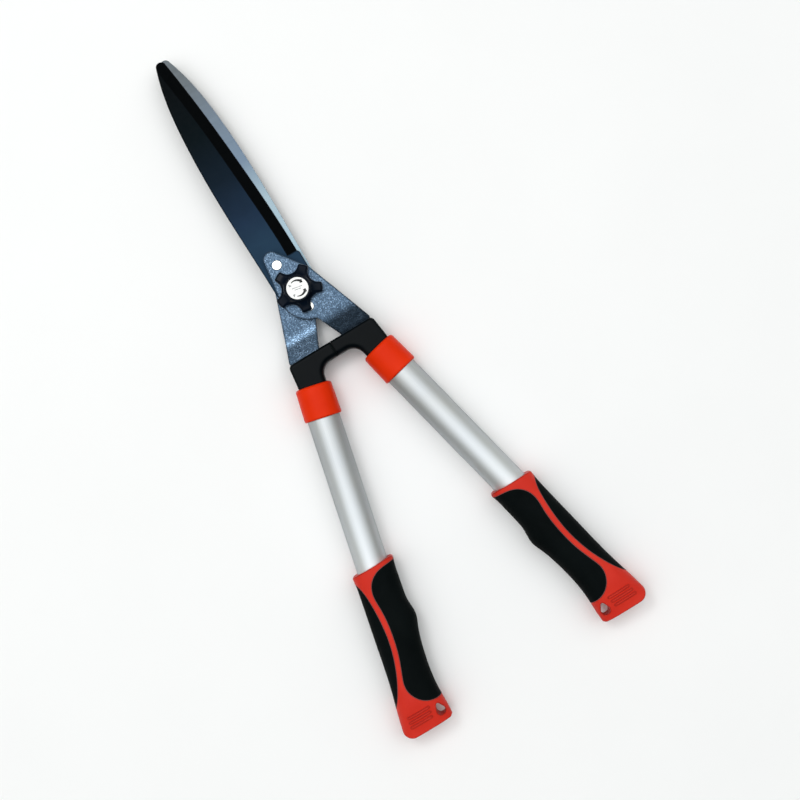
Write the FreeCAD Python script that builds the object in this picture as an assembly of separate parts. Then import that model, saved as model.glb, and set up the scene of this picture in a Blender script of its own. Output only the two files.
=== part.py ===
"""Hedge shears: two riveted blade-and-tang halves on one bolt, with aluminium tube handles.

Row frame, in millimetres: the origin is on the pivot axis, on the surface that the shears lie on.
+Z runs up the pivot axis to the tension knob, and +Y along the closed blades to their tips.

The two halves are the same part turned over: each is drawn once as the upper half, with the plane
between the blades at z = 0, and the lower half is that half turned 180 degrees about the Y axis.
"""

import FreeCAD
import Part
import math
import os

from FreeCAD import Vector

# ---- Driving dimensions -------------------------------------------------------------------------

# Plates, measured outwards from the plane between the blades
BLADE_GAP = 0.2          # from that plane to a blade's inner face
BLADE_T = 3.6
TANG_T = 4.2
HEAD_H = 9.2             # height of the pivot bolt's flanged head, which the shears lie on
STACK = BLADE_GAP + BLADE_T + TANG_T
MID_Z = STACK + HEAD_H   # height of the plane between the blades

# Blades
TIP_Y = 223.0
BEVEL_END_Y = 29.0
BEVEL_W = 9.4
EDGE_T = 0.5             # steel left at the cutting edge
SPINE = [(-18.4, 4.0), (-19.1, 45.0), (-20.0, 101.0), (-18.0, 155.0), (-13.1, 194.0), (-6.4, 219.0)]
HEEL_X, HEEL_Y = 5.1, -5.0     # middle of the blade's rounded heel
HEEL_R_BLADE = 21.8
CUT = [(15.7, BEVEL_END_Y), (14.9, 71.0), (12.1, 121.0), (7.0, 181.0), (2.0, 221.0)]

# Tangs
NOSE_R = 6.7             # rounded nose round the first rivet
HEEL_R = 23.3            # rounded heel behind the pivot
CRANK_START_Y = -32.5    # between these two the tang bends to the middle of its handle
CRANK_END_Y = -51.8
CRANK_START_R = 36.0     # radii of the two bends, on the tang's outer face
CRANK_END_R = 5.0
TAIL_W = 16.0
TAIL_END_S = 126.0
RIVETS = [(-5.0, 26.4), (0.1, -16.7)]
RIVET_R = 2.5
RIVET_HEAD_R = 4.1
RIVET_HEAD_H = 0.8

# Handles: s runs down the handle from the pivot, x across it and away from the other handle
HANDLE_DEG = 13.0
AXIS_X = 14.0            # how far the tube's axis passes from the pivot
TUBE_R = 14.0
TUBE_WALL = 1.5
TUBE_START_S = 82.1
TUBE_END_S = 357.0
SLIP = 0.05              # radial clearance of parts that slide together

# Sockets
SOCKET_HALF_T = 10.5
SOCKET_TOP_Y = -50.8
ARM_BOTTOM_Y = -64.2
ARCH_R = 11.0
NECK_R = 12.2
NECK_S = 79.6
ARM_GAP = 0.15           # from the middle plane to whatever stands at it when the shears are shut
SOCKET_EDGE_R = 2.6      # rounding of its outer edges
ARCH_EDGE_R = 4.6        # rounding of the edges between the handles
BUMPER_T = 1.8
BUMPER_INSET = 0.15      # the buffer stands this far inside the arm's outline
BUMPER_STEM_R = 3.0
BUMPER_STEM_L = 5.5

# Collars
COLLAR_START_S = 79.7
COLLAR_END_S = 108.2
PIN_S = 96.0
PIN_R = 2.5

# Grips: g runs down the grip from its top inner corner
GRIP_START_S = 234.0
PAD_T = 1.5
PAD_LAP = 40.0           # how far a pad's outline reaches past the grip's side
# (g, reach towards the other handle, reach away from it, half thickness)
GRIP_STATIONS = [
    (-5.0, 19.8, 19.7, 17.1), (2.0, 19.2, 19.7, 17.15), (8.0, 18.4, 19.4, 17.1),
    (15.0, 18.3, 18.6, 16.7), (30.0, 18.5, 18.0, 16.6), (42.0, 19.5, 17.9, 16.6),
    (53.0, 22.1, 17.8, 16.6), (64.0, 20.8, 17.7, 16.6), (80.0, 19.2, 17.5, 16.6),
    (95.0, 18.9, 17.4, 16.5), (110.0, 19.7, 17.7, 16.4), (121.0, 21.3, 18.3, 16.2),
    (130.0, 23.2, 18.8, 14.6), (140.0, 25.0, 19.1, 11.6), (148.0, 26.0, 19.3, 9.8),
    (160.0, 27.0, 19.4, 9.0),
]
GRIP_SQUARENESS = 2.4    # exponent of the grip's superellipse section
SECTION_POINTS = 20
INNER_PAD = [
    (-24.0, 2.6), (-11.0, 5.9), (-2.0, 9.8), (4.4, 17.2), (6.4, 26.0), (4.1, 39.2), (1.8, 55.3),
    (1.3, 69.0), (2.3, 84.8), (4.5, 98.7), (5.0, 107.6), (1.6, 115.9), (-6.6, 122.7),
    (-15.5, 124.5), (-26.0, 121.0),
]
OUTER_PAD = [
    (21.5, 11.5), (15.4, 19.0), (10.7, 32.3), (7.8, 47.1), (6.1, 63.2), (6.1, 75.1), (7.8, 91.1),
    (11.4, 106.6), (15.6, 118.5), (21.5, 129.5),
]
HOLE_R = 3.7             # round end of the hanging hole
HOLE_TIP_R = 1.5
HOLE_G = 136.0
HOLE_LENGTH = 12.2
HOLE_X = -17.2

RIBS = 3                 # raised on both faces of the grip's tail, square to the closed shears
RIB_W = 1.9
RIB_L = 21.0
RIB_PITCH = 4.3
RIB_H = 0.8
RIB_X = 1.3
RIB_G = 131.5

# Pivot, upwards from the upper tang's outer face
BOLT_R = 5.0
BORE_R = BOLT_R + SLIP
FLANGE_R = 10.9
HEX_FLATS = 16.0
THREAD_R = 4.95
FLATS = 8.4              # across the bolt's two flats
TANG_TOP_Z = MID_Z + STACK
SPRING_H = 1.6
WASHER_T = 1.5
HUB_Z = TANG_TOP_Z + SPRING_H + WASHER_T + SLIP
KNOB_R = 20.5
KNOB_BOTTOM_Z = TANG_TOP_Z + 1.4
LOBE_TOP_Z = 36.4
KNOB_TOP_Z = 39.6
BOSS_R = 11.6
SCALLOP_R = 8.8
SCALLOP_D = 22.4
LOBES = 5
LOBE_DEG = 46.0
INSERT_R = 7.5
INSERT_TOP_Z = 37.0
BOLT_END_Z = 36.6
LABEL_R = 9.2
LABEL_T = 0.6

# ---- Small helpers ------------------------------------------------------------------------------


def outline(corners, z=0.0):
    """A closed wire of straight sides whose corners, (x, y, radius), are rounded by tangent arcs."""
    points = [Vector(c[0], c[1], z) for c in corners]
    edges, ends = [], []
    for i, corner in enumerate(corners):
        here = points[i]
        to_last = (points[i - 1] - here).normalize()
        to_next = (points[(i + 1) % len(points)] - here).normalize()
        radius = corner[2]
        if radius <= 0:
            ends.append((here, here))
            continue
        half = to_last.getAngle(to_next) / 2
        reach = radius / math.tan(half)
        middle = (to_last + to_next).normalize()
        start, end = here + to_last * reach, here + to_next * reach
        top = here + middle * (radius / math.sin(half) - radius)
        edges.append((i, Part.Arc(start, top, end).toShape()))
        ends.append((start, end))
    arcs = dict(edges)
    ordered = []
    for i in range(len(points)):
        if i in arcs:
            ordered.append(arcs[i])
        a, b = ends[i][1], ends[(i + 1) % len(points)][0]
        if a.distanceToPoint(b) > 1e-6:
            ordered.append(Part.makeLine(a, b))
    return Part.Wire(ordered)


def slab(wire, low, high):
    """The wire's area from height low to height high."""
    solid = Part.Face(wire).extrude(Vector(0, 0, high - low))
    solid.translate(Vector(0, 0, low))
    return solid


def curve(points, z=0.0):
    """One smooth edge through the points."""
    spline = Part.BSplineCurve()
    spline.interpolate([Vector(x, y, z) for x, y in points])
    return spline.toShape()


def turned(corners):
    """A solid of revolution about the tube's axis, in the handle frame, from (radius, s, rounding)."""
    profile = Part.Face(outline([(r, -s, rounding) for r, s, rounding in corners]))
    solid = profile.revolve(Vector(0, 0, 0), Vector(0, 1, 0), 360)
    solid.translate(Vector(AXIS_X, 0, 0))
    return solid


def lathe(corners):
    """A solid of revolution about the pivot axis, in the row frame, from (radius, z, rounding)."""
    flat = Part.Face(outline(corners))
    flat.rotate(Vector(0, 0, 0), Vector(1, 0, 0), 90)
    return flat.revolve(Vector(0, 0, 0), Vector(0, 0, 1), 360)


def rod(radius, low, high, x=0.0, y=0.0):
    return Part.makeCylinder(radius, high - low, Vector(x, y, low))


def rounded(solid, radius, wanted):
    """The solid with the edges that wanted(edge) picks rounded."""
    return solid.makeFillet(radius, [e for e in solid.Edges if wanted(e)])


def flat_edge_at(z):
    """Picks the edges that lie wholly at height z."""
    def wanted(edge):
        box = edge.BoundBox
        return abs(box.ZMin - z) < 1e-4 and abs(box.ZMax - z) < 1e-4
    return wanted


def from_handle(shape):
    """Turns a shape from the handle frame, where the handle runs along -Y, to its place."""
    placed = shape.copy()
    placed.rotate(Vector(0, 0, 0), Vector(0, 0, 1), HANDLE_DEG)
    return placed


def handle_point(x, s):
    """A point of the handle frame in the half's own plane."""
    a = math.radians(HANDLE_DEG)
    return (x * math.cos(a) + s * math.sin(a), x * math.sin(a) - s * math.cos(a))


def place(shape, lower):
    """Puts a shape of the upper half in the row frame, as the upper or the lower half's."""
    placed = shape.copy()
    if lower:
        placed.rotate(Vector(0, 0, 0), Vector(0, 1, 0), 180)
    placed.translate(Vector(0, 0, MID_Z))
    return placed


# ---- Blades, tangs and rivets -------------------------------------------------------------------


def blade_outline():
    """Spine, rounded tip, cutting edge, and a heel that hides under both tangs."""
    spine, cut = curve(SPINE), curve(CUT)
    tip = Part.Arc(Vector(*SPINE[-1], 0), Vector(-1.6, TIP_Y, 0), Vector(*CUT[-1], 0)).toShape()
    heel = [
        Vector(HEEL_X + HEEL_R_BLADE * math.cos(math.radians(a)),
               HEEL_Y + HEEL_R_BLADE * math.sin(math.radians(a)), 0) for a in (166, 214, 262)
    ]
    sides = [heel[-1]]
    sides += [Vector(x, y, 0) for x, y in [(6.5, -24.0), (15.5, -12.0), (17.0, -6.0)]]
    sides += [Vector(17.0, BEVEL_END_Y - 1.6, 0), Vector(*CUT[0], 0)]
    edges = [cut, tip, spine, Part.makeLine(Vector(*SPINE[0], 0), heel[0])]
    edges.append(Part.Arc(*heel).toShape())
    edges += [Part.makeLine(p, q) for p, q in zip(sides, sides[1:])]
    return Part.Wire(Part.__sortEdges__(edges))


def bevel_cutter():
    """The ground bevel, as a wedge that leans from the full thickness down to the cutting edge."""
    top = BLADE_GAP + BLADE_T
    fall = (BLADE_T - EDGE_T) / BEVEL_W
    past = 4.0
    points = [(CUT[0][0], BEVEL_END_Y)] + CUT[1:-1] + [(2.0, 221.0), (1.4, 226.0)]
    wires = []
    for x, y in points:
        corners = [
            Vector(x - BEVEL_W - past, y, top + past * fall),
            Vector(x + past, y, top + past * fall),
            Vector(x + past, y, top - (BEVEL_W + past) * fall),
        ]
        wires.append(Part.makePolygon(corners + corners[:1]))
    return Part.makeLoft(wires, True, False)


def blade():
    solid = slab(blade_outline(), BLADE_GAP, BLADE_GAP + BLADE_T)
    solid = solid.cut(bevel_cutter())
    for x, y in RIVETS:
        solid = solid.cut(rod(RIVET_R, 0, 10, x, y))
    return solid.cut(rod(BORE_R, 0, 10))


def tang_outline():
    """Nose round the first rivet, heel behind the pivot, and a tail that runs inside the tube."""
    edge_in, edge_out = AXIS_X - TAIL_W / 2, AXIS_X + TAIL_W / 2
    return outline([
        (-10.9, 50.0, NOSE_R),
        (17.2, 12.0, 4.0),
        (39.2, -48.9, 1.5),
        (*handle_point(edge_out, 68.0), 3.0),
        (*handle_point(edge_out, TAIL_END_S), 2.0),
        (*handle_point(edge_in, TAIL_END_S), 2.0),
        (*handle_point(edge_in, 66.0), 3.0),
        (11.9, -52.3, 1.0),
        (0.85, -28.0, 4.0),
        (-20.75, -22.2, HEEL_R),
    ])


def tang():
    """Plate that lies on the blade and slopes to the middle of the handle just before its socket."""
    low, high = STACK - TANG_T, STACK
    drop = (low + high) / 2
    slope = math.atan2(drop, CRANK_START_Y - CRANK_END_Y)
    shift = TANG_T * math.tan(slope / 2)
    start, end, tail = CRANK_START_Y, CRANK_END_Y, -140.0
    profile = outline([
        (60.0, high, 0), (start, high, CRANK_START_R), (end, high - drop, CRANK_END_R),
        (tail, high - drop, 0), (tail, low - drop, 0),
        (end - shift, low - drop, CRANK_END_R + TANG_T),
        (start - shift, low, CRANK_START_R - TANG_T), (60.0, low, 0),
    ])
    bent = Part.Face(profile).extrude(Vector(0, 0, 120))
    bent.rotate(Vector(0, 0, 0), Vector(1, 1, 1), 120)
    bent.translate(Vector(-40, 0, 0))
    solid = slab(tang_outline(), -20, 20).common(bent)
    for x, y in RIVETS:
        solid = solid.cut(rod(RIVET_R, 0, 10, x, y))
    return solid.cut(rod(PIN_R + SLIP, -10, 10, *handle_point(AXIS_X, PIN_S)))


def tang_pocket(plate):
    """The part of the tang that the socket is moulded round."""
    return plate.common(Part.makeBox(200, 200, 40, Vector(-100, SOCKET_TOP_Y - 200, -20)))


def rivet(x, y):
    """One rivet: flush on the blade's inner face, with a low round head on the tang."""
    shank = rod(RIVET_R, BLADE_GAP, STACK, x, y)
    head = rod(RIVET_HEAD_R, STACK, STACK + RIVET_HEAD_H, x, y)
    head = rounded(head, 0.5, flat_edge_at(STACK + RIVET_HEAD_H))
    return shank.fuse(head).removeSplitter()


# ---- Handles ------------------------------------------------------------------------------------


def socket(plate, arm_end):
    """Moulded socket with its bumper arm, its neck, and the plug that fills the tube's end."""
    x_in, x_out = AXIS_X - 12.0, AXIS_X + 12.0
    slope = math.tan(math.radians(HANDLE_DEG))
    corner_x = x_in / math.cos(math.radians(HANDLE_DEG)) - ARM_BOTTOM_Y * slope
    wire = outline([
        (arm_end, SOCKET_TOP_Y, 0),
        (40.6, SOCKET_TOP_Y, 4.0),
        (*handle_point(x_out, NECK_S), 0),
        (*handle_point(x_in, NECK_S), 0),
        (corner_x, ARM_BOTTOM_Y, ARCH_R),
        (arm_end, ARM_BOTTOM_Y, 0),
    ])
    body = slab(wire, -SOCKET_HALF_T, SOCKET_HALF_T)

    def inner_edge(edge):
        middle = edge.BoundBox.Center
        level = abs(abs(middle.z) - SOCKET_HALF_T) < 1e-4
        return level and middle.y < ARM_BOTTOM_Y + 1 and middle.x < 19.3

    def outer_edge(edge):
        middle = edge.BoundBox.Center
        level = abs(abs(middle.z) - SOCKET_HALF_T) < 1e-4
        return level and (middle.y > SOCKET_TOP_Y - 1e-3 or middle.x > 39.0)

    body = rounded(body, ARCH_EDGE_R, inner_edge)
    body = rounded(body, SOCKET_EDGE_R, outer_edge)
    neck = turned([(0, NECK_S - 1, 0), (NECK_R - 2, NECK_S - 1, 0), (NECK_R - 2, NECK_S, 0),
                   (NECK_R, NECK_S, 0), (NECK_R, TUBE_START_S, 0), (0, TUBE_START_S, 0)])
    plug_r, plug_end = TUBE_R - TUBE_WALL - SLIP, TAIL_END_S + 4
    plug = turned([(0, TUBE_START_S, 0), (plug_r, TUBE_START_S, 0), (plug_r, plug_end, 2.0),
                   (0, plug_end, 0)])
    solid = body.fuse(from_handle(neck.fuse(plug))).removeSplitter()
    solid = solid.cut(tang_pocket(plate))
    return solid.cut(rod(PIN_R + SLIP, -30, 30, *handle_point(AXIS_X, PIN_S)))


def arm_bore(solid, arm_end):
    """Blind hole in the end of an arm for the bumper's stem."""
    middle_y = (SOCKET_TOP_Y + ARM_BOTTOM_Y) / 2
    hole = Part.makeCylinder(BUMPER_STEM_R + SLIP, BUMPER_STEM_L + 0.5, Vector(arm_end, middle_y, 0),
                             Vector(1, 0, 0))
    return solid.cut(hole)


def bumper():
    """Rubber buffer on the end of the lower half's arm, with the stem that holds it."""
    height, middle_y = SOCKET_TOP_Y - ARM_BOTTOM_Y, (SOCKET_TOP_Y + ARM_BOTTOM_Y) / 2
    width, depth = height - 2 * BUMPER_INSET, 2 * (SOCKET_HALF_T - BUMPER_INSET)
    pad = Part.makeBox(BUMPER_T, width, depth, Vector(ARM_GAP, middle_y - width / 2, -depth / 2))
    along = [e for e in pad.Edges if e.BoundBox.XLength > BUMPER_T / 2]
    pad = pad.makeFillet(SOCKET_EDGE_R, [e for e in along if e.BoundBox.YMax > middle_y])
    along = [e for e in pad.Edges if e.BoundBox.XLength > BUMPER_T / 2]
    pad = pad.makeFillet(ARCH_EDGE_R, [e for e in along if e.BoundBox.YMin < middle_y - width / 2 + 1e-3])
    stem = Part.makeCylinder(BUMPER_STEM_R, BUMPER_STEM_L + 0.1,
                             Vector(ARM_GAP + BUMPER_T - 0.1, middle_y, 0), Vector(1, 0, 0))
    return pad.fuse(stem).removeSplitter()


def tube():
    inner = TUBE_R - TUBE_WALL
    solid = turned([(inner, TUBE_START_S, 0), (TUBE_R, TUBE_START_S, 0), (TUBE_R, TUBE_END_S, 0),
                    (inner, TUBE_END_S, 0)])
    return solid.cut(rod(PIN_R + SLIP, -30, 30, AXIS_X, -PIN_S))


def collar():
    """Ring that hides the joint of socket and tube: a lip round the neck, then a slight flare."""
    neck, bore = NECK_R + SLIP, TUBE_R + SLIP
    return turned([
        (neck, COLLAR_START_S, 0.3), (TUBE_R + 1.6, COLLAR_START_S, 2.7),
        (TUBE_R + 2.2, COLLAR_END_S, 1.6), (bore, COLLAR_END_S, 0.3),
        (bore, TUBE_START_S - SLIP, 0), (neck, TUBE_START_S - SLIP, 0),
    ])


def cross_pin():
    """Slotted spring pin through tube, plug and tang, under the collar."""
    half = TUBE_R - 0.15
    solid = rod(PIN_R, -half, half, AXIS_X, -PIN_S).cut(rod(1.5, -half, half, AXIS_X, -PIN_S))
    slot = Part.makeBox(PIN_R + 1, 0.8, 2 * half, Vector(AXIS_X, -PIN_S - 0.4, -half))
    return solid.cut(slot)


def grip_section(g, inwards, outwards, half, inset):
    """One superellipse section of the grip, drawn inset inside its surface."""
    points = []
    for i in range(SECTION_POINTS):
        a = 2 * math.pi * i / SECTION_POINTS
        c, s = math.cos(a), math.sin(a)
        reach = (outwards if c > 0 else inwards) - inset
        x = math.copysign(abs(c) ** (2 / GRIP_SQUARENESS), c) * reach
        z = math.copysign(abs(s) ** (2 / GRIP_SQUARENESS), s) * (half - inset)
        points.append(Vector(AXIS_X + x, -(GRIP_START_S + g), z))
    spline = Part.BSplineCurve()
    spline.interpolate(Points=points, PeriodicFlag=True)
    return Part.Wire([spline.toShape()])


def grip_body(inset):
    return Part.makeLoft([grip_section(*station, inset) for station in GRIP_STATIONS], True, False)


def grip_plan():
    """The grip seen from above: slanted ends, square to the closed shears' own axis."""
    corners = [
        (-19.2, 0.1, 2.4), (19.2, 9.0, 2.6), (19.8, 60.0, 0), (19.4, 153.6, 8.5),
        (-27.0, 143.2, 5.0), (-25.0, 136.0, 0), (-30.0, 110.0, 0), (-30.0, 30.0, 0),
        (-18.6, 7.0, 0),
    ]
    return slab(outline([(AXIS_X + x, -(GRIP_START_S + g), r) for x, g, r in corners]), -30, 30)


def pad_region(points, side):
    """Everything beyond a pad's outline, seen from above, on one side of the grip."""
    placed = [(AXIS_X + x, -(GRIP_START_S + g)) for x, g in points]
    far = AXIS_X + side * PAD_LAP
    first, last = placed[0], placed[-1]
    around = [last, (far, last[1]), (far, first[1]), first]
    edges = [curve(placed)]
    edges += [Part.makeLine(Vector(*p, 0), Vector(*q, 0)) for p, q in zip(around, around[1:])]
    return slab(Part.Wire(Part.__sortEdges__(edges)), -30, 30)


def hanging_hole():
    """Teardrop hole right through the grip's tail, pointing along the closed shears."""
    corners = [
        (-HOLE_R, -HOLE_R, HOLE_R * 0.98), (HOLE_R, -HOLE_R, HOLE_R * 0.98),
        (HOLE_R * 1.02, 1.5, 3.0), (0, HOLE_LENGTH - HOLE_R + 0.9, HOLE_TIP_R),
        (-HOLE_R * 1.02, 1.5, 3.0),
    ]
    hole = slab(outline(corners), -30, 30)
    hole.rotate(Vector(0, 0, 0), Vector(0, 0, 1), -HANDLE_DEG)
    hole.translate(Vector(AXIS_X + HOLE_X, -(GRIP_START_S + HOLE_G), 0))
    return hole


def tail_ribs():
    """Raised bars that follow the surface of the grip's tail."""
    swollen = grip_body(-RIB_H)
    bars = []
    for i in range(RIBS):
        ends = [(-RIB_L / 2, -RIB_W / 2), (RIB_L / 2, -RIB_W / 2), (RIB_L / 2, RIB_W / 2),
                (-RIB_L / 2, RIB_W / 2)]
        bar = slab(outline([(x, y, RIB_W * 0.49) for x, y in ends]), -30, 30)
        bar.rotate(Vector(0, 0, 0), Vector(0, 0, 1), -HANDLE_DEG)
        bar.translate(Vector(AXIS_X + RIB_X, -(GRIP_START_S + RIB_G + i * RIB_PITCH), 0))
        bars.append(bar.common(swollen))
    return bars


def grip():
    """Grip shell and its two soft pads, as three solids."""
    body = grip_body(0.0).common(grip_plan())
    skin = body.cut(grip_body(PAD_T))
    inner = skin.common(pad_region(INNER_PAD, -1))
    outer = skin.common(pad_region(OUTER_PAD, 1))
    bore = turned([(0, GRIP_START_S - 20, 0), (TUBE_R + SLIP, GRIP_START_S - 20, 0),
                   (TUBE_R + SLIP, TUBE_END_S + 0.5, 0), (0, TUBE_END_S + 0.5, 0)])
    shell = body.fuse(tail_ribs()).cut(inner).cut(outer).cut(bore).cut(hanging_hole())
    return shell, inner, outer


# ---- Pivot --------------------------------------------------------------------------------------


def pivot_bolt():
    """Flanged hex head, square neck in the lower tang, shank, and a flatted thread for the knob."""
    hexagon = [
        (HEX_FLATS / math.sqrt(3) * math.cos(math.radians(60 * i)),
         HEX_FLATS / math.sqrt(3) * math.sin(math.radians(60 * i)), 0) for i in range(6)
    ]
    chamfer = lathe([(0, 0, 0), (HEX_FLATS / 2 - 0.2, 0, 0), (HEX_FLATS / 2 + 1.6, 1.1, 0),
                     (HEX_FLATS / 2 + 1.6, HEAD_H, 0), (0, HEAD_H, 0)])
    head = slab(outline(hexagon), 0, HEAD_H - 0.5).common(chamfer)
    flange = lathe([(0, HEAD_H - 3.2, 0), (HEX_FLATS / 2, HEAD_H - 3.2, 0),
                    (FLANGE_R, HEAD_H - 1.2, 0.4), (FLANGE_R, HEAD_H, 0.3), (0, HEAD_H, 0)])
    neck_top = HEAD_H + TANG_T
    neck = Part.makeBox(2 * BOLT_R, 2 * BOLT_R, TANG_T, Vector(-BOLT_R, -BOLT_R, HEAD_H))
    shank = rod(BOLT_R, neck_top, TANG_TOP_Z)
    thread = lathe([(0, TANG_TOP_Z, 0), (THREAD_R, TANG_TOP_Z, 0), (THREAD_R, BOLT_END_Z - 0.8, 0),
                    (THREAD_R - 0.8, BOLT_END_Z, 0), (0, BOLT_END_Z, 0)])
    thread = thread.common(Part.makeBox(FLATS, 20, 40, Vector(-FLATS / 2, -10, 0)))
    return head.fuse([flange, neck, shank, thread]).removeSplitter()


def pivot_shim():
    """Thin friction ring between the blades."""
    low = MID_Z - BLADE_GAP
    return lathe([(BORE_R, low, 0), (12.0, low, 0), (12.0, low + 0.36, 0), (BORE_R, low + 0.36, 0)])


def disc_spring():
    """Conical spring washer that keeps the blades pressed together."""
    low, high, t = TANG_TOP_Z + SLIP, TANG_TOP_Z + SPRING_H - SLIP, 0.9
    return lathe([(BORE_R + 0.3, high - t, 0), (11.0, low, 0), (11.0, low + t, 0),
                  (BORE_R + 0.3, high, 0)])


def thrust_washer():
    """Washer with two flats in its hole, so that the blades can't turn the knob."""
    low = TANG_TOP_Z + SPRING_H
    ring = lathe([(0, low, 0), (10.5, low, 0.2), (10.5, low + WASHER_T, 0.4), (0, low + WASHER_T, 0)])
    between_flats = Part.makeBox(FLATS + 2 * SLIP, 20, 60, Vector(-FLATS / 2 - SLIP, -10, 0))
    return ring.cut(rod(BORE_R, low - 1, low + 5).common(between_flats))


def knob_plan():
    """Star of equal lobes: a disc with scallops cut out of its rim."""
    plan = rod(KNOB_R, 0, 60)
    for i in range(LOBES):
        a = math.radians(LOBE_DEG + 360 / LOBES * (i + 0.5))
        plan = plan.cut(rod(SCALLOP_R, -1, 61, SCALLOP_D * math.cos(a), SCALLOP_D * math.sin(a)))
    upright = [e for e in plan.Edges if e.BoundBox.ZLength > 50]
    return plan.makeFillet(1.6, upright)


def knob():
    """Lobed tension knob, hollow underneath round the washers."""
    top = lathe([
        (0, KNOB_BOTTOM_Z, 0), (KNOB_R + 1, KNOB_BOTTOM_Z, 0), (KNOB_R + 1, LOBE_TOP_Z - 2.2, 0),
        (BOSS_R + 0.6, LOBE_TOP_Z, 3.0), (BOSS_R - 0.4, KNOB_TOP_Z, 1.0), (0, KNOB_TOP_Z, 0),
    ])
    solid = knob_plan().common(top)
    hollow = rod(11.6, KNOB_BOTTOM_Z - 1, HUB_Z)
    seat = rod(INSERT_R, HUB_Z - 1, INSERT_TOP_Z)
    relief = rod(BORE_R + 0.2, INSERT_TOP_Z - 1, INSERT_TOP_Z + 0.8)
    recess = rod(LABEL_R + SLIP, KNOB_TOP_Z - LABEL_T, KNOB_TOP_Z + 1)
    return solid.cut(hollow).cut(seat).cut(relief).cut(recess)


def knob_insert():
    """Threaded brass insert of the knob, which runs on the bolt."""
    return lathe([(BORE_R, HUB_Z, 0), (INSERT_R, HUB_Z, 0), (INSERT_R, INSERT_TOP_Z, 0),
                  (BORE_R, INSERT_TOP_Z, 0)])


def knob_label():
    top = KNOB_TOP_Z - 0.05
    return lathe([(0, KNOB_TOP_Z - LABEL_T, 0), (LABEL_R, KNOB_TOP_Z - LABEL_T, 0),
                  (LABEL_R, top, 0.25), (0, top, 0)])


# ---- Assembly -----------------------------------------------------------------------------------


def half(lower):
    """All the pieces of one half, named for the blade's layer and the handle's side."""
    layer, side = ("lower", "left") if lower else ("upper", "right")
    plate = tang()
    arm_end = ARM_GAP + (BUMPER_T if lower else 0.0)
    holder = socket(plate, arm_end)
    if lower:
        holder = arm_bore(holder, arm_end)
        square = Part.makeBox(2 * BORE_R, 2 * BORE_R, 30, Vector(-BORE_R, -BORE_R, -15))
        plate = plate.cut(square)
    else:
        plate = plate.cut(rod(BORE_R, 0, 20))
    shell, inner, outer = (from_handle(s) for s in grip())
    pieces = {
        f"{layer}_blade": blade(),
        f"{layer}_tang": plate,
        f"{layer}_rivets": Part.makeCompound([rivet(x, y) for x, y in RIVETS]),
        f"{side}_socket": holder,
        f"{side}_tube": from_handle(tube()),
        f"{side}_collar": from_handle(collar()),
        f"{side}_cross_pin": from_handle(cross_pin()),
        f"{side}_grip_shell": shell,
        f"{side}_grip_inner_pad": inner,
        f"{side}_grip_outer_pad": outer,
    }
    if lower:
        pieces["bumper"] = bumper()
    return {name: place(shape, lower) for name, shape in pieces.items()}


def main():
    os.makedirs("parts", exist_ok=True)
    pieces = {**half(False), **half(True)}
    pieces.update({
        "pivot_bolt": pivot_bolt(), "pivot_shim": pivot_shim(), "disc_spring": disc_spring(),
        "thrust_washer": thrust_washer(), "knob": knob(), "knob_insert": knob_insert(),
        "knob_label": knob_label(),
    })
    for name, shape in pieces.items():
        shape.exportStep(f"parts/{name}.step")
        box = shape.BoundBox
        print(f"{name:24s} solids {len(shape.Solids)} valid {shape.isValid()} "
              f"volume {shape.Volume:10.1f} z {box.ZMin:7.2f} to {box.ZMax:7.2f}")


main()
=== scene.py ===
"""Looks of the hedge shears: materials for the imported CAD, and finer pieces where they show."""
import math

import bmesh
import bpy
from mathutils import Matrix, Vector
from mathutils.bvhtree import BVHTree


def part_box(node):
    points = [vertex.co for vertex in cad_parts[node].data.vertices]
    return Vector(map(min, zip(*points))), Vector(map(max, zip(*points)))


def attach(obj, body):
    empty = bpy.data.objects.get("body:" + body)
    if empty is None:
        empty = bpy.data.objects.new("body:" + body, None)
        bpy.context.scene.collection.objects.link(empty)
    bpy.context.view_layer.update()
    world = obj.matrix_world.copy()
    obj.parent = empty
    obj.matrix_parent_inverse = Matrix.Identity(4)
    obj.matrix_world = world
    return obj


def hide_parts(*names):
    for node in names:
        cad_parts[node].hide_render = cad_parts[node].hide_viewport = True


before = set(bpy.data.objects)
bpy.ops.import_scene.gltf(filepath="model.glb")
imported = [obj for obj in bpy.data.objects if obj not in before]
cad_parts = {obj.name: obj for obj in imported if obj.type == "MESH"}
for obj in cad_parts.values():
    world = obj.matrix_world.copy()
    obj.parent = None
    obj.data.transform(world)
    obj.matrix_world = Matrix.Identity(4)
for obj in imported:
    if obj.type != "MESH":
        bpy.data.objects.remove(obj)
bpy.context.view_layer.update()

MM = 0.001

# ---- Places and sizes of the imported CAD, in metres ----------------------------------------------

UPPER_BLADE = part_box("upper_blade")
LOWER_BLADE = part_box("lower_blade")
MID_Z = (UPPER_BLADE[0][2] + LOWER_BLADE[1][2]) / 2   # height of the plane between the blades
BLADE_T = 3.6 * MM
BLADE_TIP_Y = 223 * MM
HANDLE_DEG = 13.0        # half the angle between the closed handles
TUBE_HIGHLIGHT_START_Y = -0.13      # a painted highlight on the tubes starts here and grows towards the grips
TUBE_HIGHLIGHT_FULL_Y = -0.235
KNOB_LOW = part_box("knob")[0][2]
KNOB_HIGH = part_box("knob")[1][2]
LABEL_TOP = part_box("knob_label")[1][2]

# ---- Camera, light and floor --------------------------------------------------------------------

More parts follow.
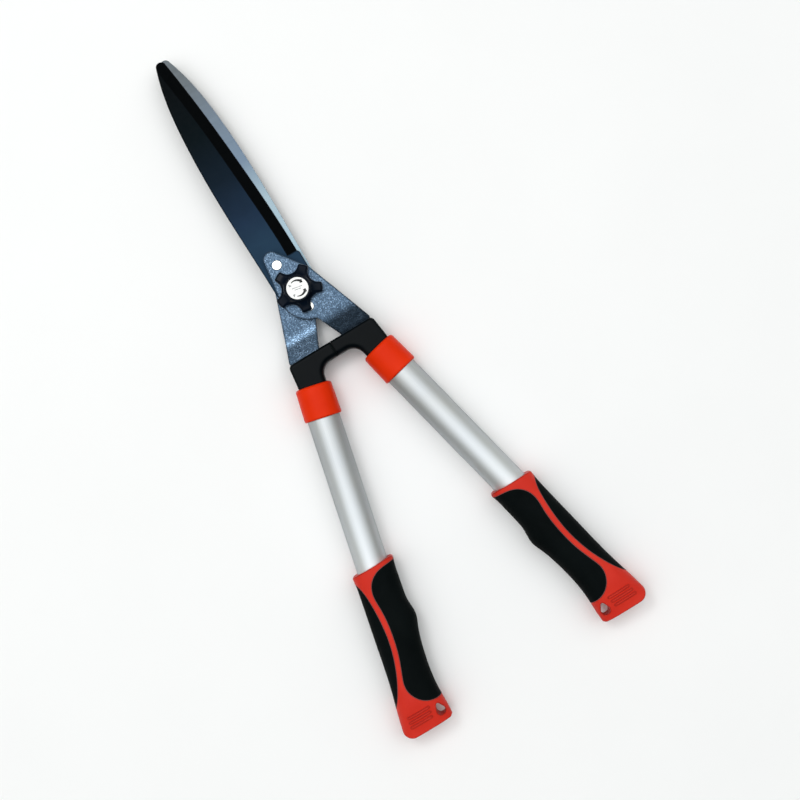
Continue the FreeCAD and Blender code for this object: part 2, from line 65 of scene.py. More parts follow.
CAMERA_AT = Vector((24.5 * MM, -122.7 * MM))   # the camera looks straight down on this point
CAMERA_HEIGHT = 1.43
CAMERA_TURN = math.radians(-31.25)
VIEW_WIDTH = 0.670       # how much of the plane between the blades fills the frame
SENSOR = 36.0
SKY_STRENGTH = 2.26
SKY_TILT = math.radians(13)   # the bright part of the surround leans this far towards the tips
SKY_BY_HEIGHT = ((0.42, (0.24, 0.24, 0.205)), (0.92, (0.97, 0.99, 1.0)))
SKY_ALONG = ((0.24, 0.06), (0.47, 1.0), (0.70, 1.0), (0.80, 0.22))   # from the grips to the tips
KEY_AT = (-0.28, 0.62, 1.6)
KEY_AIM = Vector((0.0, -0.08, 0.02))
KEY_SIZE = 0.5
KEY_POWER = 5.0
KEY_COLOUR = (1.0, 0.99, 0.97)
FLOOR_REACH = 6.0        # the floor goes this far each way, in metres


def make_camera():
    data = bpy.data.cameras.new("camera")
    data.sensor_width = SENSOR
    data.lens = SENSOR * (CAMERA_HEIGHT - MID_Z) / VIEW_WIDTH
    camera = bpy.data.objects.new("camera", data)
    camera.location = (*CAMERA_AT, CAMERA_HEIGHT)
    camera.rotation_euler = (0, 0, CAMERA_TURN)
    bpy.context.collection.objects.link(camera)
    bpy.context.scene.camera = camera


def make_key_light():
    """A square softbox beyond the tips that faces the middle of the shears."""
    data = bpy.data.lights.new("key", "AREA")
    data.size = KEY_SIZE
    data.energy = KEY_POWER
    data.color = KEY_COLOUR
    light = bpy.data.objects.new("key", data)
    light.location = KEY_AT
    light.rotation_euler = (KEY_AIM - Vector(KEY_AT)).to_track_quat("-Z", "Y").to_euler()
    bpy.context.collection.objects.link(light)


def make_world():
    """Soft surround: bright nearly overhead, duller at the horizon and past the shears' ends."""
    world = bpy.data.worlds.new("studio")
    bpy.context.scene.world = world
    world.use_nodes = True
    tree = world.node_tree
    background = tree.nodes["Background"]
    background.inputs["Strength"].default_value = SKY_STRENGTH
    direction = tree.nodes.new("ShaderNodeTexCoord").outputs["Generated"]

    def dot(axis):
        made = tree.nodes.new("ShaderNodeVectorMath")
        made.operation = "DOT_PRODUCT"
        made.inputs[1].default_value = axis
        tree.links.new(direction, made.inputs[0])
        return made.outputs["Value"]

    def ramp(value, stops):
        made = tree.nodes.new("ShaderNodeValToRGB")
        made.color_ramp.interpolation = "EASE"
        while len(made.color_ramp.elements) < len(stops):
            made.color_ramp.elements.new(0.5)
        for element, (position, colour) in zip(made.color_ramp.elements, stops):
            element.position = position
            element.color = (*colour, 1)
        tree.links.new(value, made.inputs[0])
        return made.outputs["Color"]

    height = ramp(dot((0, math.sin(SKY_TILT), math.cos(SKY_TILT))), SKY_BY_HEIGHT)
    along = tree.nodes.new("ShaderNodeMapRange")
    along.inputs["From Min"].default_value = -1.0
    tree.links.new(dot((0, 1, 0)), along.inputs["Value"])
    ends = ramp(along.outputs["Result"], [(position, (grey,) * 3) for position, grey in SKY_ALONG])
    both = tree.nodes.new("ShaderNodeVectorMath")
    both.operation = "MULTIPLY"
    tree.links.new(height, both.inputs[0])
    tree.links.new(ends, both.inputs[1])
    tree.links.new(both.outputs["Vector"], background.inputs["Color"])


def make_floor():
    mesh = bpy.data.meshes.new("floor")
    shape = bmesh.new()
    bmesh.ops.create_grid(shape, x_segments=8, y_segments=8, size=FLOOR_REACH)
    shape.to_mesh(mesh)
    shape.free()
    floor = bpy.data.objects.new("floor", mesh)
    bpy.context.collection.objects.link(floor)
    mesh.materials.append(plain_floor())


# ---- Building blocks for materials --------------------------------------------------------------

MIX_FIRST, MIX_SECOND, MIX_RESULT = 6, 7, 2   # places of a Mix node's colour sockets
EDGE_SPAN = (0.88, 0.995)   # likeness of the rounded and the true normal, at an edge and off it


class Look:
    """One material: the shader's own values are given at once, and textures are joined to it."""

    def __init__(self, name, **values):
        self.material = bpy.data.materials.new(name)
        self.material.use_nodes = True
        self.tree = self.material.node_tree
        self.shader = self.tree.nodes["Principled BSDF"]
        for key, value in values.items():
            self.shader.inputs[key.replace("_", " ")].default_value = value
        self.coordinates = self.tree.nodes.new("ShaderNodeTexCoord").outputs["Object"]

    def node(self, kind, **settings):
        made = self.tree.nodes.new(kind)
        for key, value in settings.items():
            setattr(made, key, value)
        return made

    def feed(self, socket, value):
        """Joins another node's output to the socket, or sets its value."""
        if isinstance(value, bpy.types.NodeSocket):
            self.tree.links.new(value, socket)
        else:
            socket.default_value = value

    def spread(self, scale=(1, 1, 1), turn_deg=0.0):
        """The object's own coordinates, turned about Z and then stretched."""
        mapping = self.node("ShaderNodeMapping", vector_type="POINT")
        self.feed(mapping.inputs["Vector"], self.coordinates)
        mapping.inputs["Rotation"].default_value = (0, 0, math.radians(turn_deg))
        stretch = self.node("ShaderNodeVectorMath", operation="MULTIPLY")
        self.feed(stretch.inputs[0], mapping.outputs[0])
        stretch.inputs[1].default_value = scale
        return stretch.outputs[0]

    def noise(self, per_metre, detail=3.0, roughness=0.55, stretch=(1, 1, 1), turn_deg=0.0):
        made = self.node("ShaderNodeTexNoise")
        self.feed(made.inputs["Vector"], self.spread(stretch, turn_deg))
        made.inputs["Scale"].default_value = per_metre
        made.inputs["Detail"].default_value = detail
        made.inputs["Roughness"].default_value = roughness
        return made.outputs["Fac"]

    def cells(self, per_metre, feature="SMOOTH_F1", output="Distance"):
        made = self.node("ShaderNodeTexVoronoi", feature=feature)
        self.feed(made.inputs["Vector"], self.coordinates)
        made.inputs["Scale"].default_value = per_metre
        return made.outputs[output]

    def axis(self, letter, turn_deg=0.0):
        """One of the object's own coordinates, in metres."""
        split = self.node("ShaderNodeSeparateXYZ")
        self.feed(split.inputs[0], self.spread(turn_deg=turn_deg))
        return split.outputs[letter]

    def ramp(self, factor, *stops):
        """A colour that follows the factor through (position, (r, g, b)) stops."""
        made = self.node("ShaderNodeValToRGB")
        elements = made.color_ramp.elements
        while len(elements) < len(stops):
            elements.new(0.5)
        for element, (position, colour) in zip(elements, stops):
            element.position = position
            element.color = (*colour, 1)
        self.feed(made.inputs[0], factor)
        return made.outputs[0]

    def span(self, value, from_low, from_high, to_low=0.0, to_high=1.0):
        """The value moved from one range to another, and held at its ends."""
        made = self.node("ShaderNodeMapRange")
        for key, number in zip(("From Min", "From Max", "To Min", "To Max"),
                               (from_low, from_high, to_low, to_high)):
            made.inputs[key].default_value = number
        self.feed(made.inputs["Value"], value)
        return made.outputs["Result"]

    def mix(self, factor, first, second):
        made = self.node("ShaderNodeMix", data_type="RGBA")
        self.feed(made.inputs[0], factor)
        for place, value in ((MIX_FIRST, first), (MIX_SECOND, second)):
            self.feed(made.inputs[place], (*value, 1) if isinstance(value, tuple) else value)
        return made.outputs[MIX_RESULT]

    def colour(self, value):
        self.feed(self.shader.inputs["Base Color"], value)

    def rough(self, value):
        self.feed(self.shader.inputs["Roughness"], value)

    def soften(self, radius):
        """Rounds the look of sharp edges."""
        made = self.node("ShaderNodeBevel", samples=4)
        made.inputs["Radius"].default_value = radius
        self.feed(self.shader.inputs["Normal"], made.outputs["Normal"])

    def edge(self, radius, strength=1.0):
        """How near a sharp edge is: strength at the edge, and nothing past the radius."""
        rounded = self.node("ShaderNodeBevel", samples=6)
        rounded.inputs["Radius"].default_value = radius
        true = self.node("ShaderNodeNewGeometry")
        match = self.node("ShaderNodeVectorMath", operation="DOT_PRODUCT")
        self.feed(match.inputs[0], rounded.outputs["Normal"])
        self.feed(match.inputs[1], true.outputs["Normal"])
        return self.span(match.outputs["Value"], *EDGE_SPAN, strength, 0.0)

    def bump(self, height, distance, strength=1.0):
        """Adds relief, its height in metres, on top of any relief already there."""
        made = self.node("ShaderNodeBump")
        made.inputs["Strength"].default_value = strength
        made.inputs["Distance"].default_value = distance
        self.feed(made.inputs["Height"], height)
        normal = self.shader.inputs["Normal"]
        if normal.is_linked:
            self.feed(made.inputs["Normal"], normal.links[0].from_socket)
        self.feed(normal, made.outputs["Normal"])


# ---- Colours, as linear red, green and blue. A pair is the low and high end of a slight drift ----

FLOOR_PAPER = (0.915, 0.915, 0.915), (0.93, 0.93, 0.93)
BLADE_COAT_AND_REFLECTION = (       # on the outer face, by the share of the way from the pivot to the tip: the coat's colour with painted reflection, brighter by the pivot
    (0.22, (0.0185, 0.046, 0.085)), (0.32, (0.0135, 0.031, 0.064)), (0.50, (0.0050, 0.0125, 0.023)),
    (0.68, (0.0012, 0.0048, 0.007)), (0.88, (0.0007, 0.0020, 0.0028)))
BLADE_COAT_WORN = (0.003, 0.006, 0.010)
BLADE_EDGE_SHADE = (0.0008, 0.0015, 0.0022)
BLADE_BEVEL = (0.0003, 0.0008, 0.0012)
BLADE_STEEL_AND_REFLECTION = (      # on the bare inner face, by the same share: the steel's colour with painted reflection, brighter by the pivot
    (0.18, (0.21, 0.285, 0.33)), (0.36, (0.185, 0.245, 0.28)), (0.52, (0.085, 0.118, 0.160)),
    (0.90, (0.055, 0.063, 0.068)))
STEEL_LINES = (0.05, 0.06, 0.07)
PAINT_GRAINS = ((0.22, (0.026, 0.042, 0.066)), (0.50, (0.050, 0.080, 0.118)),
                (0.66, (0.074, 0.112, 0.162)), (0.86, (0.190, 0.270, 0.370)))
PAINT_FLECKS = (0.068, 0.115, 0.175)
PAINT_PATCHES = (0.030, 0.055, 0.090)
PAINT_EDGE_SHADE = (0.006, 0.011, 0.017)
RIVET = (0.90, 0.88, 0.82), (0.97, 0.95, 0.90)
TUBE_LINES = (0.50, 0.525, 0.545), (0.60, 0.625, 0.645)
TUBE_CLOUD = (0.58, 0.58, 0.54)
TUBE_PAINTED_HIGHLIGHT = (0.78, 0.82, 0.85)
LABEL_WHITE = (0.88, 0.88, 0.87), (0.93, 0.93, 0.92)
SOCKET_BLACK = (0.0008, 0.0018, 0.0026), (0.0014, 0.0028, 0.0038)
KNOB_BLACK = (0.0016, 0.0042, 0.0095), (0.0026, 0.0060, 0.0130)
PAD_BLACK = (0.0016, 0.0028, 0.0030), (0.0028, 0.0046, 0.0048)
COLLAR_RED = (0.70, 0.026, 0.002), (0.76, 0.032, 0.003)
GRIP_RED = (0.58, 0.026, 0.015), (0.65, 0.034, 0.019)
RIB_RED = (0.50, 0.020, 0.011), (0.58, 0.028, 0.015)
SEAM_SHADOW_BROWN = (0.10, 0.055, 0.055), (0.16, 0.085, 0.085)
INK_BLACK = (0.006, 0.007, 0.008), (0.012, 0.013, 0.015)
INK_GREY = (0.30, 0.31, 0.32), (0.42, 0.43, 0.44)
ZINC = (0.50, 0.50, 0.49), (0.62, 0.62, 0.60)
SPRING_STEEL = (0.16, 0.16, 0.17), (0.26, 0.26, 0.27)
BRASS = (0.58, 0.42, 0.16), (0.72, 0.54, 0.24)

# ---- Materials ----------------------------------------------------------------------------------

DRIFT = (0.3, 0.7)       # the part of a noise's range over which a material changes
BLADE_EDGE_R = 0.25 * MM     # rounding of edges, and the width of the painted shade along them
BLADE_EDGE_SHADE_W = 2.2 * MM
PAINT_EDGE_R = 0.9 * MM
PAINT_EDGE_SHADE_W = 2.8 * MM
PLASTIC_EDGE_R = 0.35 * MM
PLASTIC_EDGE_SHADE_W = 1.8 * MM
PLASTIC_EDGE_SHADE_SHARE = 0.35     # how bright the painted edge shade is beside the plastic's low colour


def drifting(look, cloud, colours):
    """A colour that drifts with the noise between a low and a high one."""
    return look.ramp(cloud, *zip(DRIFT, colours))


def plain_floor():
    look = Look("floor_paper", Roughness=0.85)
    look.colour(drifting(look, look.noise(6.0), FLOOR_PAPER))
    return look.material


def blade_look(name, inner_z, outwards):
    """Coated blade whose inner face is ground bare. Outwards is +1 if its outer face looks up."""
    look = Look(name, Specular_IOR_Level=0.02)
    look.soften(BLADE_EDGE_R)
    depth = look.span(look.axis("Z"), inner_z, inner_z + outwards * BLADE_T)
    bare = look.span(depth, 0.012, 0.02, 1.0, 0.0)
    along = look.span(look.axis("Y"), 0.0, BLADE_TIP_Y)
    cloud = look.noise(45.0, detail=5)
    # painted reflection along the coat: brighter by the pivot, darker towards the tip
    coat_and_reflection = look.ramp(along, *BLADE_COAT_AND_REFLECTION)
    coat = look.mix(look.span(cloud, 0.3, 0.75, 0.0, 0.22), coat_and_reflection, BLADE_COAT_WORN)
    on_top = look.span(depth, 0.985, 0.995)
    coat = look.mix(on_top, BLADE_BEVEL, coat)
    grind = look.noise(1500.0, detail=7, roughness=0.75, stretch=(0.03, 1.0, 1.0), turn_deg=3.0)
    # painted reflection along the bare steel: brighter by the pivot, darker towards the tip
    steel_and_reflection = look.ramp(along, *BLADE_STEEL_AND_REFLECTION)
    steel = look.mix(look.span(grind, 0.35, 0.65), look.mix(0.35, steel_and_reflection, STEEL_LINES), steel_and_reflection)
    # painted shade along the blade's edges
    coat = look.mix(look.edge(BLADE_EDGE_SHADE_W, 0.85), coat, BLADE_EDGE_SHADE)
    look.colour(look.mix(bare, coat, steel))
    look.feed(look.shader.inputs["Metallic"], bare)
    worn = look.span(look.noise(240.0, detail=6), *DRIFT, 0.34, 0.48)
    look.rough(look.mix(bare, worn, look.span(grind, *DRIFT, 0.28, 0.46)))
    look.bump(grind, 0.03 * MM, 0.4)
    look.bump(look.noise(1800.0, detail=2), 0.012 * MM, 0.6)
    return look.material


def hammered_paint():
    """Blue-grey hammer-finish paint: grains under a millimetre across, some of them bright."""
    look = Look("hammered_paint", Metallic=0.9, Specular_IOR_Level=0.2)
    look.soften(PAINT_EDGE_R)
    grain = look.cells(1450.0, feature="F1", output="Color")
    dimples = look.cells(1130.0)
    flecks = look.noise(1060.0, detail=6, roughness=0.85)
    patches = look.noise(70.0, detail=3)
    tone = look.ramp(grain, *PAINT_GRAINS)
    tone = look.mix(look.span(flecks, 0.40, 0.62, 0.0, 0.5), tone, PAINT_FLECKS)
    tone = look.mix(look.span(patches, 0.35, 0.65, 0.0, 0.3), tone, PAINT_PATCHES)
    # painted shade along the plates' edges
    look.colour(look.mix(look.edge(PAINT_EDGE_SHADE_W, 0.95), tone, PAINT_EDGE_SHADE))
    look.rough(look.span(flecks, 0.35, 0.65, 0.28, 0.17))
    look.bump(dimples, 0.10 * MM, 0.5)
    look.bump(flecks, 0.03 * MM, 0.5)
    return look.material


def rivet_plating():
    look = Look("rivet_plating", Metallic=1.0)
    smear = look.noise(500.0, detail=5)
    look.colour(drifting(look, smear, RIVET))
    look.rough(look.span(smear, *DRIFT, 0.14, 0.30))
    look.bump(look.noise(2500.0), 0.01 * MM, 0.5)
    return look.material


def moulded_plastic(name, colours, rough, grain=0.02, gloss=0.5, rim=0.0):
    """Moulded plastic or rubber: slight colour drift, fine grain, uneven gloss and painted shade
    along the edges, as strong as rim asks.
    """
    look = Look(name, Specular_IOR_Level=gloss)
    look.soften(PLASTIC_EDGE_R)
    tone = drifting(look, look.noise(38.0, detail=4), colours)
    # painted shade along the edges, as strong as rim
    if rim:
        painted_edge_shade = tuple(PLASTIC_EDGE_SHADE_SHARE * part for part in colours[0])
        tone = look.mix(look.edge(PLASTIC_EDGE_SHADE_W, rim), tone, painted_edge_shade)
    look.colour(tone)
    rub = look.noise(160.0, detail=6, roughness=0.65)
    look.rough(look.span(rub, *DRIFT, rough * 0.88, rough * 1.12))
    look.bump(look.noise(2600.0, detail=2), grain * MM, 0.8)
    look.bump(look.noise(120.0, detail=3), 0.05 * MM, 0.25)
    return look.material


def tube_aluminium(name, turn_deg):
    """Satin anodised tube with fine lines drawn along it, and a painted highlight that grows towards
    the grip.
    """
    look = Look(name, Metallic=1.0, Specular_Tint=(0.1, 0.1, 0.1, 1))
    lines = look.noise(1700.0, detail=5, roughness=0.7, stretch=(1, 0.008, 1), turn_deg=turn_deg)
    cloud = look.noise(26.0, detail=4)
    tone = drifting(look, lines, TUBE_LINES)
    tone = look.mix(look.span(cloud, 0.35, 0.7, 0.0, 0.3), tone, TUBE_CLOUD)
    # painted highlight, growing towards the grip
    painted_highlight = look.span(look.axis("Y"), TUBE_HIGHLIGHT_START_Y, TUBE_HIGHLIGHT_FULL_Y, 0.0, 0.55)
    look.colour(look.mix(painted_highlight, tone, TUBE_PAINTED_HIGHLIGHT))
    look.rough(look.span(lines, *DRIFT, 0.50, 0.60))
    look.bump(lines, 0.012 * MM, 0.5)
    return look.material


def plain_metal(name, colours, rough):
    look = Look(name, Metallic=1.0)
    cloud = look.noise(300.0, detail=5)
    look.colour(drifting(look, cloud, colours))
    look.rough(look.span(cloud, *DRIFT, rough * 0.8, rough * 1.25))
    look.bump(look.noise(1600.0, detail=3), 0.02 * MM, 0.5)
    return look.material


def label_face():
    look = Look("label_face", Coat_Weight=0.5, Coat_Roughness=0.08)
    cloud = look.noise(200.0, detail=4)
    look.colour(drifting(look, cloud, LABEL_WHITE))
    look.rough(look.span(cloud, *DRIFT, 0.25, 0.38))
    look.bump(cloud, 0.02 * MM, 0.4)
    return look.material


def dress(material, *nodes):
    """Gives the CAD nodes one material."""
    for node in nodes:
        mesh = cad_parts[node].data
        mesh.materials.clear()
        mesh.materials.append(material)


def dress_all():
    dress(blade_look("upper_blade_look", UPPER_BLADE[0][2], 1), "upper_blade")
    dress(blade_look("lower_blade_look", LOWER_BLADE[1][2], -1), "lower_blade")
    dress(hammered_paint(), "upper_tang", "lower_tang")
    dress(rivet_plating(), "upper_rivets", "lower_rivets")
    black = moulded_plastic("black_plastic", SOCKET_BLACK, rough=0.34, gloss=0.06, rim=0.8)
    dress(black, "left_socket", "right_socket")
    dress(tube_aluminium("left_tube_look", HANDLE_DEG), "left_tube")
    dress(tube_aluminium("right_tube_look", -HANDLE_DEG), "right_tube")
    collar = moulded_plastic("collar_red", COLLAR_RED, rough=0.36, grain=0.01, gloss=0.06, rim=0.7)
    dress(collar, "left_collar", "right_collar")
    shell = moulded_plastic("grip_red", GRIP_RED, rough=0.44, gloss=0.08, rim=0.7)
    dress(shell, "left_grip_shell", "right_grip_shell")
    pads = moulded_plastic("pad_rubber", PAD_BLACK, rough=0.66, grain=0.05, gloss=0.03)
    dress(pads, "left_grip_inner_pad", "left_grip_outer_pad", "right_grip_inner_pad",
          "right_grip_outer_pad", "bumper")
    dress(plain_metal("zinc", ZINC, 0.35), "pivot_bolt", "thrust_washer")
    spring = plain_metal("spring_steel", SPRING_STEEL, 0.4)
    dress(spring, "disc_spring", "left_cross_pin", "right_cross_pin")
    dress(plain_metal("brass", BRASS, 0.3), "knob_insert", "pivot_shim")
    dress(label_face(), "knob_label")


def new_piece(name, shape, body, material, smooth=True):
    """Makes an object from a bmesh and lets it ride on a body."""
    bmesh.ops.recalc_face_normals(shape, faces=shape.faces)
    mesh = bpy.data.meshes.new(name)
    shape.to_mesh(mesh)
    shape.free()
    for face in mesh.polygons:
        face.use_smooth = smooth
    piece = bpy.data.objects.new(name, mesh)
    bpy.context.collection.objects.link(piece)
    mesh.materials.append(material)
    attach(piece, body)
    return piece


# ---- Tension knob -------------------------------------------------------------------------------

KNOB_R = 20.5 * MM
KNOB_LOBES = 5
KNOB_LOBE_DEG = 46.0     # where the first lobe points
SCALLOP_R = 8.8 * MM     # the hollows between the lobes, and how far out their centres are
SCALLOP_D = 22.4 * MM
CORNER_R = 1.7 * MM      # rounding of a lobe's corners, seen from above
TIP_STEPS, CORNER_STEPS, SCALLOP_STEPS = 6, 7, 8   # steps along each arc of half a lobe
LOBE_TOP = KNOB_HIGH - 3.6 * MM
DOME_R = 11.7 * MM       # the lobes' tops rise in a curve to a ring of this radius round the hub
DOME_RISE = 1.9 * MM
DOME_STEPS = 6

# The rings of the knob's skin, from the recess underneath up to the label's seat, in mm.
RECESS_R = 11.7
RECESS_UP = (1.7, 0.0)   # heights of the recess's rings above the knob's bottom
# Inset from the rim and height above the bottom, then inset and depth below the lobes' top:
LOBE_FOOT = ((1.0, 0.0), (0.3, 0.25), (0.0, 0.9))
LOBE_EDGE = ((0.0, 2.1), (0.15, 1.3), (0.55, 0.6), (1.15, 0.2), (1.6, 0.0))
# Radius and depth below the knob's top:
HUB_RINGS = ((11.3, 1.0), (11.1, 0.35), (10.7, 0.05), (10.2, 0.0), (9.5, 0.0), (9.27, 0.12),
             (9.25, 0.6), (2.0, 0.6))


def on_circle(radius, angle):
    return Vector((math.cos(angle), math.sin(angle))) * radius


def half_lobe():
    """Points and the directions of their normals, from a lobe's tip to the middle of a hollow."""
    corner_d = KNOB_R - CORNER_R
    reach = SCALLOP_R + CORNER_R
    turn = math.acos((corner_d ** 2 + SCALLOP_D ** 2 - reach ** 2) / (2 * corner_d * SCALLOP_D))
    half_pitch = math.pi / KNOB_LOBES
    corner_at = half_pitch - turn
    hollow = on_circle(SCALLOP_D, half_pitch)
    corner = on_circle(corner_d, corner_at)
    meet = (hollow - corner).angle_signed(Vector((1, 0)))
    side = []
    for i in range(TIP_STEPS):
        a = corner_at * i / TIP_STEPS
        side.append((on_circle(KNOB_R, a), a))
    for i in range(CORNER_STEPS + 1):
        a = corner_at + (meet - corner_at) * i / CORNER_STEPS
        side.append((corner + on_circle(CORNER_R, a), a))
    start, end = meet + math.pi, half_pitch + math.pi
    for i in range(1, SCALLOP_STEPS + 1):
        a = start + (end - start) * i / SCALLOP_STEPS
        side.append((hollow + on_circle(SCALLOP_R, a), a - math.pi))
    return side


def knob_outline():
    """Points round the knob's rim, each with its outward normal."""
    side = half_lobe()
    mirrored = [(Vector((p.x, -p.y)), -a) for p, a in reversed(side[1:])]
    points = []
    for lobe in range(KNOB_LOBES):
        middle = math.radians(KNOB_LOBE_DEG) + lobe * 2 * math.pi / KNOB_LOBES
        spin = on_circle(1.0, middle)
        for p, a in mirrored[1:] + side:
            place = Vector((p.x * spin.x - p.y * spin.y, p.x * spin.y + p.y * spin.x))
            points.append((place, on_circle(1.0, a + middle)))
    return points


def make_knob(material):
    """Five-lobed tension knob with rounded edges, a domed top and a hub that holds the label."""
    rim = knob_outline()
    ways = [point.normalized() for point, normal in rim]
    shape = bmesh.new()
    loops = []

    def ring(places, z):
        loops.append([shape.verts.new((*place, z)) for place in places])

    def round_places(radius):
        return [way * radius * MM for way in ways]

    def inset_places(inset):
        return [point - normal * inset * MM for point, normal in rim]

    for up in RECESS_UP:
        ring(round_places(RECESS_R), KNOB_LOW + up * MM)
    for inset, up in LOBE_FOOT:
        ring(inset_places(inset), KNOB_LOW + up * MM)
    for inset, down in LOBE_EDGE:
        ring(inset_places(inset), LOBE_TOP - down * MM)
    lobe_edge = inset_places(LOBE_EDGE[-1][0])
    for i in range(1, DOME_STEPS + 1):
        share = i / DOME_STEPS
        places = [edge.lerp(way * DOME_R, share) for edge, way in zip(lobe_edge, ways)]
        ring(places, LOBE_TOP + DOME_RISE * share ** 2)
    for radius, down in HUB_RINGS:
        ring(round_places(radius), KNOB_HIGH - down * MM)
    for lower, upper in zip(loops, loops[1:]):
        for i in range(len(rim)):
            j = (i + 1) % len(rim)
            shape.faces.new((lower[i], lower[j], upper[j], upper[i]))
    piece = new_piece("tension_knob", shape, "knob_group", material)
    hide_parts("knob")


# ---- Print on the knob's label ------------------------------------------------------------------

PRINT_Z = LABEL_TOP + 0.012 * MM
ARROW_R = 6.6 * MM
ARROW_W = 2.1 * MM
ARROW_TAIL = 0.14        # half an arrow's width at its tail, as a share of ARROW_W
ARROW_SWELL = 0.36       # what that gains by the head
ARROW_STEPS = 22
ARROW_ARCS = ((112, 38), (-122, -50))      # from tail to head, in degrees
HEAD_REACH_DEG = 20
TAIL_HEADS = ((128, 22), (-138, -22))      # where each starts and how far it reaches, in degrees
TAIL_HEAD_SIZE = 0.75
BARS_TURN = math.radians(-11)
# Half the bars' width, and each bar's middle (x, y) and half its length, in mm:
BAR_HALF_W = 0.3
BARS = ((-1.9, 0.85, 2.6), (2.9, 0.85, 1.6), (-1.2, -0.85, 1.5), (1.7, -0.85, 1.2))


def arc_arrow(shape, start_deg, end_deg):
    """A flat curved arrow that swells from a thin tail to its head."""
    inner, outer = [], []
    for i in range(ARROW_STEPS + 1):
        share = i / ARROW_STEPS
        a = math.radians(start_deg + (end_deg - start_deg) * share)
        half = ARROW_W * (ARROW_TAIL + ARROW_SWELL * share)
        for ring, radius in ((inner, ARROW_R - half), (outer, ARROW_R + half)):
            ring.append(shape.verts.new((radius * math.cos(a), radius * math.sin(a), PRINT_Z)))
    for i in range(ARROW_STEPS):
        shape.faces.new((inner[i], outer[i], outer[i + 1], inner[i + 1]))
    arrow_head(shape, end_deg, math.copysign(HEAD_REACH_DEG, end_deg - start_deg), 1.0)


def arrow_head(shape, at_deg, reach_deg, size):
    """A flat triangle that points along the arrows' circle."""
    base, tip = math.radians(at_deg), math.radians(at_deg + reach_deg * size)
    half = ARROW_W * size
    corners = [(ARROW_R - half, base), (ARROW_R + half, base), (ARROW_R, tip)]
    places = [(r * math.cos(t), r * math.sin(t), PRINT_Z) for r, t in corners]
    shape.faces.new([shape.verts.new(place) for place in places])


def make_label_print(black_ink, grey_ink):
    """Two turning arrows in black, and in grey the heads at their tails and bars for words."""
    shape = bmesh.new()
    for start_deg, end_deg in ARROW_ARCS:
        arc_arrow(shape, start_deg, end_deg)
    new_piece("label_arrows", shape, "knob_group", black_ink, smooth=False)
    shape = bmesh.new()
    for at_deg, reach_deg in TAIL_HEADS:
        arrow_head(shape, at_deg, reach_deg, TAIL_HEAD_SIZE)
    for x, y, half in BARS:
        corners = ((-half, -BAR_HALF_W), (half, -BAR_HALF_W), (half, BAR_HALF_W), (-half, BAR_HALF_W))
        places = [Vector((x + u, y + v)) * MM for u, v in corners]
        for place in places:
            place.rotate(Matrix.Rotation(BARS_TURN, 2))
        shape.faces.new([shape.verts.new((*place, PRINT_Z)) for place in places])
    new_piece("label_bars", shape, "knob_group", grey_ink, smooth=False)


# ---- Seams and ribs of the grips ----------------------------------------------------------------

SEAM_R = 0.22 * MM
SEAM_MIN_DEG = 50        # a seam follows edges sharper than this
SEAM_MIN_POINTS = 30     # a shorter chain of edges isn't a seam
SAME_PLACE = 0.002 * MM  # corners nearer than this are one
RIBS = 3
RIB_LENGTH = 21.0 * MM
RIB_PITCH = 4.3 * MM
RIB_R = 1.05 * MM
RIB_AT = (15.3 * MM, 365.5 * MM)   # the first rib's middle: across and down the handle's own frame
RIB_SHARE = 0.96         # the round bar is this much of the flat rib's length
RIB_SINK = 0.75          # how deep it lies in the surface, as a share of its radius
RIB_END = 0.55           # how thin its ends are
RIB_STEPS = 14
RAY_REACH = 0.05         # rays start this far above and below the plane between the blades


def new_curve(name, radius, resolution):
    """A round bar's curve, still with no lines in it."""
    data = bpy.data.curves.new(name, "CURVE")
    data.dimensions = "3D"
    data.bevel_depth = radius
    data.bevel_resolution = resolution
    return data


def add_line(data, places):
    """Adds one line to a curve, straight from each place to the next."""
    spline = data.splines.new("POLY")
    spline.points.add(len(places) - 1)
    for point, place in zip(spline.points, places):
        point.co = (*place, 1)
    return spline


def place_curve(data, body, material):
    """Makes the curve's object and lets it ride on a body."""
    data.materials.append(material)
    piece = bpy.data.objects.new(data.name, data)
    bpy.context.collection.objects.link(piece)
    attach(piece, body)


def sharp_loops(mesh):
    """Closed chains of a mesh's sharp edges, as lists of points."""
    shape = bmesh.new()
    shape.from_mesh(mesh)
    bmesh.ops.remove_doubles(shape, verts=shape.verts, dist=SAME_PLACE)
    limit = math.radians(SEAM_MIN_DEG)
    sharp = {e for e in shape.edges if len(e.link_faces) == 2 and e.calc_face_angle(0) > limit}
    loops = []
    while sharp:
        edge = sharp.pop()
        first, vert = edge.verts
        chain = [first.co.copy(), vert.co.copy()]
        while vert != first:
            following = next((e for e in vert.link_edges if e in sharp), None)
            if following is None:
                break
            sharp.discard(following)
            vert = following.other_vert(vert)
            chain.append(vert.co.copy())
        closed = chain[:-1]
        if vert == first and len(closed) >= SEAM_MIN_POINTS:
            loops.append(closed)
    shape.free()
    return loops


def chain_length(points):
    return sum((points[i] - points[i - 1]).length for i in range(len(points)))


def make_seam(node, body, material):
    """Painted shadow: a dark line in the groove where a grip's soft pad meets its shell."""
    loops = sharp_loops(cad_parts[node].data)
    if not loops:
        return
    data = new_curve(f"{node}_seam", radius=SEAM_R, resolution=2)
    add_line(data, max(loops, key=chain_length)).use_cyclic_u = True
    place_curve(data, body, material)


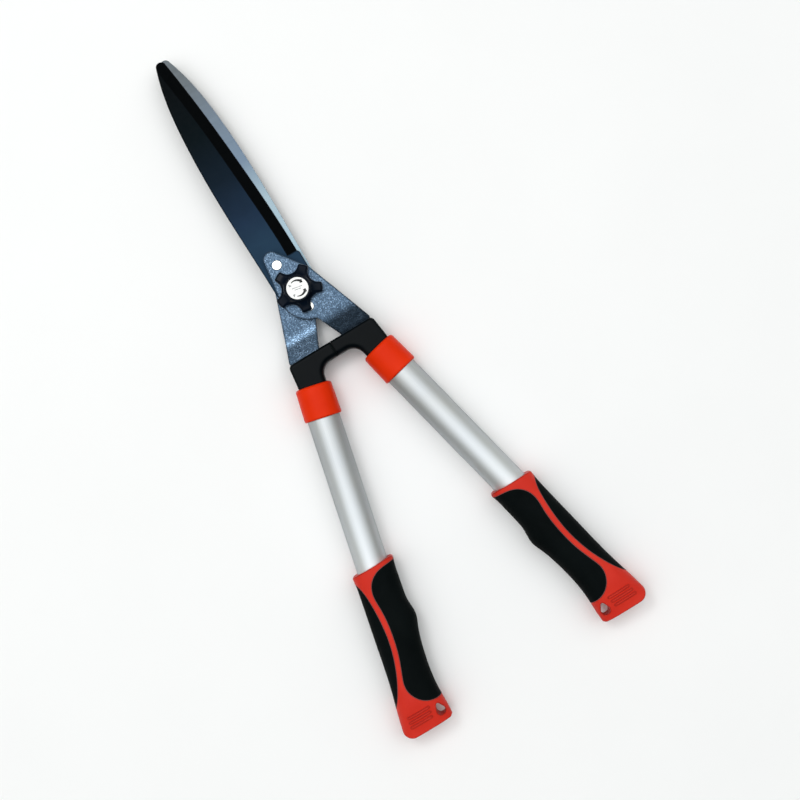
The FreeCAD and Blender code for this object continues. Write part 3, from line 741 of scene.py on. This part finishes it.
def make_ribs(side, body, material):
    """Round bars over the flat ribs on both faces of a grip's tail, laid on the grip's surface."""
    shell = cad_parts[f"{side}_grip_shell"].data
    corners = [vertex.co for vertex in shell.vertices]
    tree = BVHTree.FromPolygons(corners, [face.vertices for face in shell.polygons])
    sign = -1 if side == "left" else 1
    turn = math.radians(HANDLE_DEG)
    across, down = RIB_AT
    middle_x = across * math.cos(turn) + down * math.sin(turn)
    middle_y = across * math.sin(turn) - down * math.cos(turn)
    data = new_curve(f"{side}_grip_ribs", radius=RIB_R, resolution=3)
    data.use_fill_caps = True
    for rib in range(RIBS):
        rib_x = middle_x + RIB_PITCH * math.sin(turn) * rib
        rib_y = middle_y - RIB_PITCH * math.cos(turn) * rib
        for facing in (1, -1):
            places = []
            for i in range(RIB_STEPS + 1):
                x = sign * (rib_x + RIB_LENGTH * (i / RIB_STEPS - 0.5) * RIB_SHARE)
                start = Vector((x, rib_y, MID_Z + facing * RAY_REACH))
                hit = tree.ray_cast(start, Vector((0, 0, -facing)))[0]
                places.append(hit - Vector((0, 0, facing * RIB_R * RIB_SINK)))
            spline = add_line(data, places)
            spline.points[0].radius = spline.points[-1].radius = RIB_END
    place_curve(data, body, material)


def make_pieces():
    """The pieces that are finer than the CAD."""
    make_knob(moulded_plastic("knob_plastic", KNOB_BLACK, rough=0.24, gloss=0.065))
    black_ink = moulded_plastic("black_ink", INK_BLACK, rough=0.5, grain=0.004, gloss=0.3)
    grey_ink = moulded_plastic("grey_ink", INK_GREY, rough=0.5, grain=0.004, gloss=0.3)
    make_label_print(black_ink, grey_ink)
    seam = moulded_plastic("seam_shadow", SEAM_SHADOW_BROWN, rough=0.7, gloss=0.2)
    ribs = moulded_plastic("rib_red", RIB_RED, rough=0.40, gloss=0.12)
    for side, body in (("left", "lower_half"), ("right", "upper_half")):
        make_ribs(side, body, ribs)
        for pad in ("inner", "outer"):
            make_seam(f"{side}_grip_{pad}_pad", body, seam)


# ---- Scene --------------------------------------------------------------------------------------


def main():
    bpy.context.scene.view_settings.view_transform = "Standard"
    make_camera()
    make_world()
    make_floor()
    make_key_light()
    dress_all()
    make_pieces()


main()
